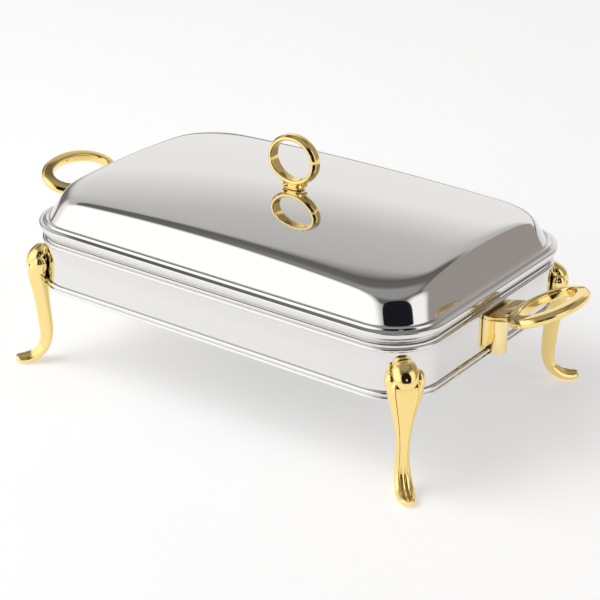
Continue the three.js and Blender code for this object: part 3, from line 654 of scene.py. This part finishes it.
def makeScrewTree():
    # along +Z in unit sizes: a domed head below the seat, a tapered shank above it
    tree = bpy.data.node_groups.new("panHeadScrews", "GeometryNodeTree")
    tree.interface.new_socket("Points", in_out="INPUT", socket_type="NodeSocketGeometry")
    for label in ("Recess Length", "Recess Width", "Recess Depth"):
        tree.interface.new_socket(label, in_out="INPUT", socket_type="NodeSocketFloat")
    tree.interface.new_socket("Seed", in_out="INPUT", socket_type="NodeSocketInt")
    tree.interface.new_socket("Finish", in_out="INPUT", socket_type="NodeSocketMaterial")
    tree.interface.new_socket("Screws", in_out="OUTPUT", socket_type="NodeSocketGeometry")
    given, result = tree.nodes.new("NodeGroupInput"), tree.nodes.new("NodeGroupOutput")

    drum = put(tree, "GeometryNodeMeshCylinder", [("Vertices", 32), ("Radius", 1), ("Depth", 1)])
    drum = put(tree, "GeometryNodeTransform", [("Geometry", drum.outputs["Mesh"]),
        ("Translation", (0, 0, -0.5))])
    ball = put(tree, "GeometryNodeMeshUVSphere", [("Segments", 32), ("Rings", 48),
        ("Radius", screws["domeRadius"])])
    ball = put(tree, "GeometryNodeTransform", [("Geometry", ball.outputs["Mesh"]),
        ("Translation", (0, 0, screws["domeRadius"] - 1))])
    head = put(tree, "GeometryNodeMeshBoolean", operation="INTERSECT")
    tree.links.new(drum.outputs["Geometry"], head.inputs["Mesh 2"])
    tree.links.new(ball.outputs["Geometry"], head.inputs["Mesh 2"])
    cross = put(tree, "GeometryNodeMeshBoolean", [("Mesh 1", head.outputs["Mesh"])], operation="DIFFERENCE")
    deep = put(tree, "ShaderNodeMath", [(0, given.outputs["Recess Depth"]), (1, 2)], operation="MULTIPLY")
    for first, second in (("Recess Length", "Recess Width"), ("Recess Width", "Recess Length")):
        size = put(tree, "ShaderNodeCombineXYZ", [(0, given.outputs[first]), (1, given.outputs[second]),
            (2, deep.outputs[0])])
        bar = put(tree, "GeometryNodeMeshCube", [("Size", size.outputs[0])])
        bar = put(tree, "GeometryNodeTransform", [("Geometry", bar.outputs["Mesh"]),
            ("Translation", (0, 0, -1))])
        tree.links.new(bar.outputs["Geometry"], cross.inputs["Mesh 2"])
    shank = put(tree, "GeometryNodeMeshCone", [("Vertices", 20), ("Side Segments", 4), ("Radius Top", 0.8),
        ("Radius Bottom", 0.98), ("Depth", 0.98)])

    aim = put(tree, "FunctionNodeAlignRotationToVector", [("Vector", named(tree, "aim", "FLOAT_VECTOR"))],
        axis="Z")
    spin = put(tree, "FunctionNodeRandomValue", [(2, 0.0), (3, math.pi), ("Seed", given.outputs["Seed"])],
        data_type="FLOAT")
    spin = put(tree, "FunctionNodeAxisAngleToRotation", [("Axis", (0, 0, 1)), ("Angle", spin.outputs[1])])
    turn = put(tree, "FunctionNodeRotateRotation", [("Rotation", aim.outputs[0]),
        ("Rotate By", spin.outputs[0])], rotation_space="LOCAL")
    both = put(tree, "GeometryNodeJoinGeometry")
    for shape, label in ((cross.outputs["Mesh"], "headSize"), (shank.outputs["Mesh"], "shankSize")):
        placed = put(tree, "GeometryNodeInstanceOnPoints", [("Points", given.outputs["Points"]),
            ("Instance", shape), ("Rotation", turn.outputs[0]),
            ("Scale", named(tree, label, "FLOAT_VECTOR"))])
        tree.links.new(placed.outputs["Instances"], both.inputs["Geometry"])
    real = put(tree, "GeometryNodeRealizeInstances", [("Geometry", both.outputs["Geometry"])])
    finish = put(tree, "GeometryNodeSetMaterial", [("Geometry", real.outputs["Geometry"]),
        ("Material", given.outputs["Finish"])])
    tree.links.new(finish.outputs["Geometry"], result.inputs["Screws"])
    return tree


screwTree = makeScrewTree()


def makeScrews(name, body, rows, nodes):
    # rows: place, direction, head radius, head height, shank radius, shank length
    mesh = bpy.data.meshes.new(name + "Points")
    mesh.from_pydata([tuple(c * mm for c in row[0]) for row in rows], [], [])
    sizes = {"aim": [row[1] for row in rows],
        "headSize": [(row[2] * mm, row[2] * mm, row[3] * mm) for row in rows],
        "shankSize": [(row[4] * mm, row[4] * mm, row[5] * mm) for row in rows]}
    for label, values in sizes.items():
        stored = mesh.attributes.new(label, "FLOAT_VECTOR", "POINT")
        for item, value in zip(stored.data, values):
            item.vector = value
    holder = bpy.data.objects.new(name + "Points", mesh)
    bpy.context.scene.collection.objects.link(holder)
    modifier = holder.modifiers.new("screws", "NODES")
    modifier.node_group = screwTree
    inputs = {item.name: item.identifier for item in screwTree.interface.items_tree if item.in_out == "INPUT"}
    for label, value in (("Recess Length", screws["recessLength"]), ("Recess Width", screws["recessWidth"]),
            ("Recess Depth", screws["recessDepth"]), ("Seed", screws["seed"]), ("Finish", zincSteel)):
        modifier[inputs[label]] = value
    bpy.context.view_layer.update()
    made = bpy.data.meshes.new_from_object(holder.evaluated_get(bpy.context.evaluated_depsgraph_get()))
    made.name = name
    holder.modifiers.clear()
    bpy.data.objects.remove(holder)
    return finishPiece(name, made, zincSteel, body, nodes)


screwSizes = dict(cover=(3, 1.8, 1.4, 4.2), heater=(3.6, 2.2, 1.9, 10.6), box=(3.4, 2.2, 1.7, 6),
    leg=(3.8, 2.6, 2, 12.6), handle=(3.8, 2.6, 2, 8.8), lid=(4, 2.6, 2, 7.6))
up = (0, 0, 1)
sides = (-1, 1)
corners = [(1, -1), (-1, -1), (1, 1), (-1, 1)]
baseScrews = [((x, side * 117.5, 81.6), up, *screwSizes["cover"]) for x in (-110, 0, 110) for side in sides]
baseScrews += [((x * 140, y * 70, 81.6), up, *screwSizes["heater"]) for x, y in corners]
baseScrews += [((side * 61.5, y, 79.7), up, *screwSizes["box"]) for side in sides for y in (52, 90)]
baseScrews += [((x * 183.2, y * 109.7, 100), (x, y, 0), *screwSizes["leg"]) for x, y in corners]
baseScrews += [((side * 196.1, 0, z), (side, 0, 0), *screwSizes["handle"])
    for side in sides for z in (94, 108)]
screwNames = [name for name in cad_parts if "screw" in name]
makeScrews("baseFasteners", "base", baseScrews, [name for name in screwNames if name != "finial_screw"])
makeScrews("lidFastener", "lid", [((0, 0, 168.4), up, *screwSizes["lid"])], ["finial_screw"])
print("screws ready:", len(baseScrews) + 1)


# Frame pieces that keep their shape, with softened edges or only a finish.
softEdged("control_box", "controlBoxMoulding", blackPlastic, "base", 0.9)
softEdged("power_inlet", "inletMoulding", glossPlastic, "base", 0.35)
softEdged("switch_housing", "switchBezel", glossPlastic, "base", 0.35)
softEdged("switch_rocker", "rockerCap", glossPlastic, "rocker", 0.4)
softEdged("terminal_block", "terminalBody", whiteCeramic, "base", 0.5)
softEdged("heating_plate", "heatingPlateSheet", rolledAluminium, "base", 0.4)
for pole in ("live", "neutral", "earth"):
    softEdged(f"inlet_pin_{pole}", f"{pole}PinBlade", contactBrass, "base", 0.3)

nodeFinishes = {
    sheetSteel: ["base_plate", "clamp_plate"], micaSheet: ["mica_heater"],
    mineralWool: ["insulation_blanket"], amberLens: ["pilot_lamp"], whiteCeramic: ["thermal_fuse"],
    leadInsulation: ["lead_live", "lead_neutral", "lead_switched", "lead_fuse"],
}
for finish, names in nodeFinishes.items():
    for name in names:
        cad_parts[name].data.materials.clear()
        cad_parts[name].data.materials.append(finish)
for name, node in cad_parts.items():
    if any(word in name for word in ("spacer", "washer", "thermostat")):
        node.data.materials.clear()
        node.data.materials.append(zincSteel)
print("frame finishes placed")


# The studio has a pale floor, soft light and a camera.
studio = dict(cameraPlace=(0.82950, -1.11768, 0.71436), back=(0.5379, -0.7301, 0.4214), lens=106.64,
    floorSize=14, floorGlow=0.36, worldStrength=1.0, keyPlace=(-1.1, -1.0, 2.2), keySize=(1.6, 1.6),
    keyWatts=22, backdrop=(0.95, 0.95, 0.95, 1))


def makeFloor():
    half = studio["floorSize"] / 2
    mesh = bpy.data.meshes.new("floor")
    mesh.from_pydata([(-half, -half, 0), (half, -half, 0), (half, half, 0), (-half, half, 0)], [],
        [(0, 1, 2, 3)])
    floor = bpy.data.objects.new("floor", mesh)
    bpy.context.scene.collection.objects.link(floor)
    material, tree, shader = newFinish("floorPaper", Roughness=0.7, Base_Color=(0.9, 0.9, 0.91, 1),
        Emission_Color=(1, 1, 1, 1), Emission_Strength=studio["floorGlow"])
    mesh.materials.append(material)


def makeLight(name, place, size, watts, target=(0, 0, 0.1), color=(1, 1, 1)):
    data = bpy.data.lights.new(name, "AREA")
    data.shape = "RECTANGLE"
    data.size, data.size_y = size
    data.energy = watts
    data.color = color
    light = bpy.data.objects.new(name, data)
    light.location = place
    light.rotation_euler = (Vector(target) - Vector(place)).to_track_quat("-Z", "Y").to_euler()
    light.visible_glossy = False  # the room alone is mirrored
    bpy.context.scene.collection.objects.link(light)


def makeWorld():
    # a white room with a grey ceiling, a bright wall at the front left and darker openings at the right
    world = bpy.data.worlds.new("studioRoom")
    bpy.context.scene.world = world
    world.use_nodes = True
    tree = world.node_tree
    background = tree.nodes["Background"]
    direction = put(tree, "ShaderNodeTexCoord").outputs["Generated"]
    height = put(tree, "ShaderNodeSeparateXYZ", [(0, direction)]).outputs[2]
    ramp = put(tree, "ShaderNodeValToRGB", [(0, height)])
    stops = [(0.0, 0.1), (0.02, 0.25), (0.05, 0.95), (0.34, 0.95), (0.5, 0.6), (0.62, 0.53), (0.67, 0.13),
        (0.8, 0.16), (0.9, 0.34)]
    while len(ramp.color_ramp.elements) < len(stops):
        ramp.color_ramp.elements.new(0.5)
    for element, (place, value) in zip(ramp.color_ramp.elements, stops):
        element.position = place
        element.color = (value, value * 0.985, value * 0.97, 1)
    color = ramp.outputs[0]
    # patches: azimuth, elevation, inner and outer half angle, brightness
    patches = [(-126, 18, 26, 47, (1.3, 1.3, 1.28)), (52, 20, 27, 36, (0.36, 0.33, 0.31)),
        (160, 8, 10, 24, (0.2, 0.18, 0.17)), (3, 24, 14, 30, (1.1, 1.09, 1.07)),
        (-42, 20, 32, 34, (0.012, 0.012, 0.016)), (-40, 20, 4, 6, (0.9, 0.92, 1.0))]
    for azimuth, elevation, inner, outer, value in patches:
        a, e = math.radians(azimuth), math.radians(elevation)
        axis = (math.cos(a) * math.cos(e), math.sin(a) * math.cos(e), math.sin(e))
        near = put(tree, "ShaderNodeVectorMath", [(0, direction), (1, axis)], operation="DOT_PRODUCT")
        mask = put(tree, "ShaderNodeMapRange", [(0, near.outputs["Value"]),
            (1, math.cos(math.radians(outer))),
            (2, math.cos(math.radians(inner))), (3, 0), (4, 1)], interpolation_type="SMOOTHSTEP")
        mix = put(tree, "ShaderNodeMix", [(0, mask.outputs[0]), (6, color), (7, (*value, 1))],
            data_type="RGBA")
        color = mix.outputs[2]
    # the camera sees a plain pale backdrop beyond the floor
    seen = put(tree, "ShaderNodeLightPath").outputs["Is Camera Ray"]
    shown = put(tree, "ShaderNodeMix", [(0, seen), (6, color), (7, studio["backdrop"])], data_type="RGBA")
    tree.links.new(shown.outputs[2], background.inputs["Color"])
    background.inputs["Strength"].default_value = studio["worldStrength"]


def makeCamera():
    data = bpy.data.cameras.new("camera")
    data.lens = studio["lens"]
    data.sensor_width = 36
    data.clip_start, data.clip_end = 0.05, 60
    camera = bpy.data.objects.new("camera", data)
    camera.location = studio["cameraPlace"]
    camera.rotation_euler = (-Vector(studio["back"])).to_track_quat("-Z", "Y").to_euler()
    bpy.context.scene.collection.objects.link(camera)
    bpy.context.scene.camera = camera


makeFloor()
makeWorld()
makeLight("keySoftbox", studio["keyPlace"], studio["keySize"], studio["keyWatts"])
makeCamera()
bpy.context.scene.view_settings.view_transform = "Standard"
print("studio ready")
